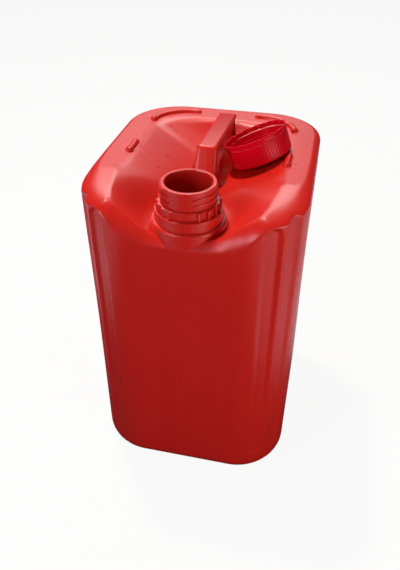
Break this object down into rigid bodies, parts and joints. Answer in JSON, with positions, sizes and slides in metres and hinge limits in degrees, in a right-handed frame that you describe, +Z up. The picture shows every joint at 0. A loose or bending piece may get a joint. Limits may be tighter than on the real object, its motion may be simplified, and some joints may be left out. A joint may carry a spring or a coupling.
{
  "type": "plastic jerrycan",
  "caption": "Tall rounded-box plastic can for liquids, with a moulded carrying handle in a sunk top, a screw neck at the front and its tamper-evident cap laid beside the handle.",
  "frame": {"origin": "centre of the bounding box in plan, on the plane that the can stands on", "axes": "+Z up, -Y towards the neck and the front face, +X to the right of someone facing the front from behind the can"},
  "size_m": [0.246, 0.2834, 0.4248],
  "materials": {
    "body_plastic": "satin",
    "cap_plastic": "semi-gloss",
    "seal_foam": "matte"
  },
  "bodies": {
    "can": {"jerrycan_body": "body_plastic"},
    "cap": {"screw_cap": "cap_plastic", "tamper_band": "cap_plastic", "cap_seal": "seal_foam"}
  },
  "joints": [
    {"name": "cap_lift", "type": "slide", "parent": "can", "child": "cap", "axis": [0, 0, 1], "range_m": [0, 0.12]}
  ]
}
